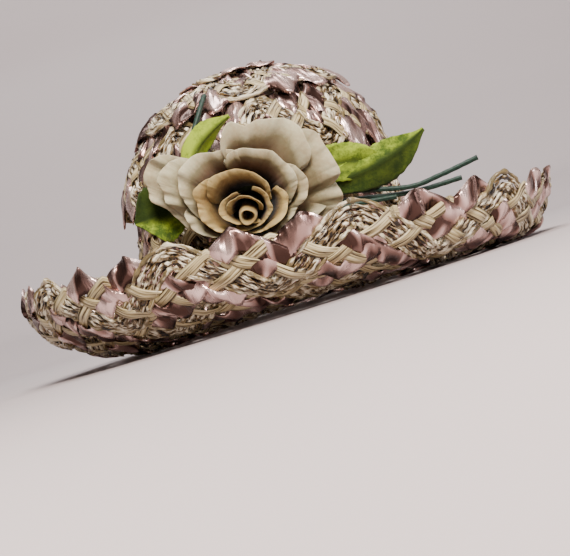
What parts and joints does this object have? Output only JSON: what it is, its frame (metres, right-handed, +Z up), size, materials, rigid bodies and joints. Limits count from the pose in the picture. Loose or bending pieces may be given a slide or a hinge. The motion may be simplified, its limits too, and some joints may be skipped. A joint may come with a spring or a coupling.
{
  "type": "breton hat with fabric rose",
  "caption": "Breton hat of broad plaited straw and satin braid: domed crown, brim rolled up all round, and a fabric rose with leaves and wire stems at the front.",
  "frame": {"origin": "middle of the hat's outline seen from above, on the surface that the brim rests on", "axes": "+Z up along the crown, -Y towards the front where the rose is, +X towards the wearer's left, where the brim is lower"},
  "size_m": [0.3528, 0.3708, 0.1591],
  "materials": {
    "braid": "flat plait of matt straw cord, dull raffia strip and glossy satin ribbon",
    "rose_tan": "matt stiffened cotton",
    "rose_taupe": "sheer stiffened organza with a faint sheen",
    "leaf": "matt velvet-finished cloth, printed in two greens",
    "stem_wrap": "wax paper wound on wire"
  },
  "bodies": {
    "root": {"crown_tip_row": "braid", "crown_upper_row": "braid", "crown_side_row": "braid", "crown_lower_row": "braid", "crown_foot_row": "braid", "brim_inner_row": "braid", "brim_middle_row": "braid", "brim_upturned_row": "braid", "rose_seat": "stem_wrap", "rose_heart": "rose_tan", "rose_petal_bud_a": "rose_tan", "rose_petal_bud_b": "rose_tan", "rose_petal_bud_c": "rose_tan", "rose_petal_inner_a": "rose_tan", "rose_petal_inner_b": "rose_tan", "rose_petal_inner_c": "rose_tan", "rose_petal_middle_a": "rose_taupe", "rose_petal_middle_b": "rose_taupe", "rose_petal_middle_c": "rose_taupe", "rose_petal_middle_d": "rose_taupe", "rose_petal_outer_top": "rose_taupe", "rose_petal_outer_left": "rose_taupe", "rose_petal_outer_right": "rose_taupe", "rose_petal_rim_left": "rose_taupe", "rose_petal_rim_low": "rose_taupe", "leaf_upper_left": "leaf", "leaf_lower_left": "leaf", "leaf_right_back": "leaf", "leaf_right_front": "leaf", "stem_left": "stem_wrap", "stem_upper": "stem_wrap", "stem_middle": "stem_wrap", "stem_lower": "stem_wrap"}
  },
  "joints": []
}
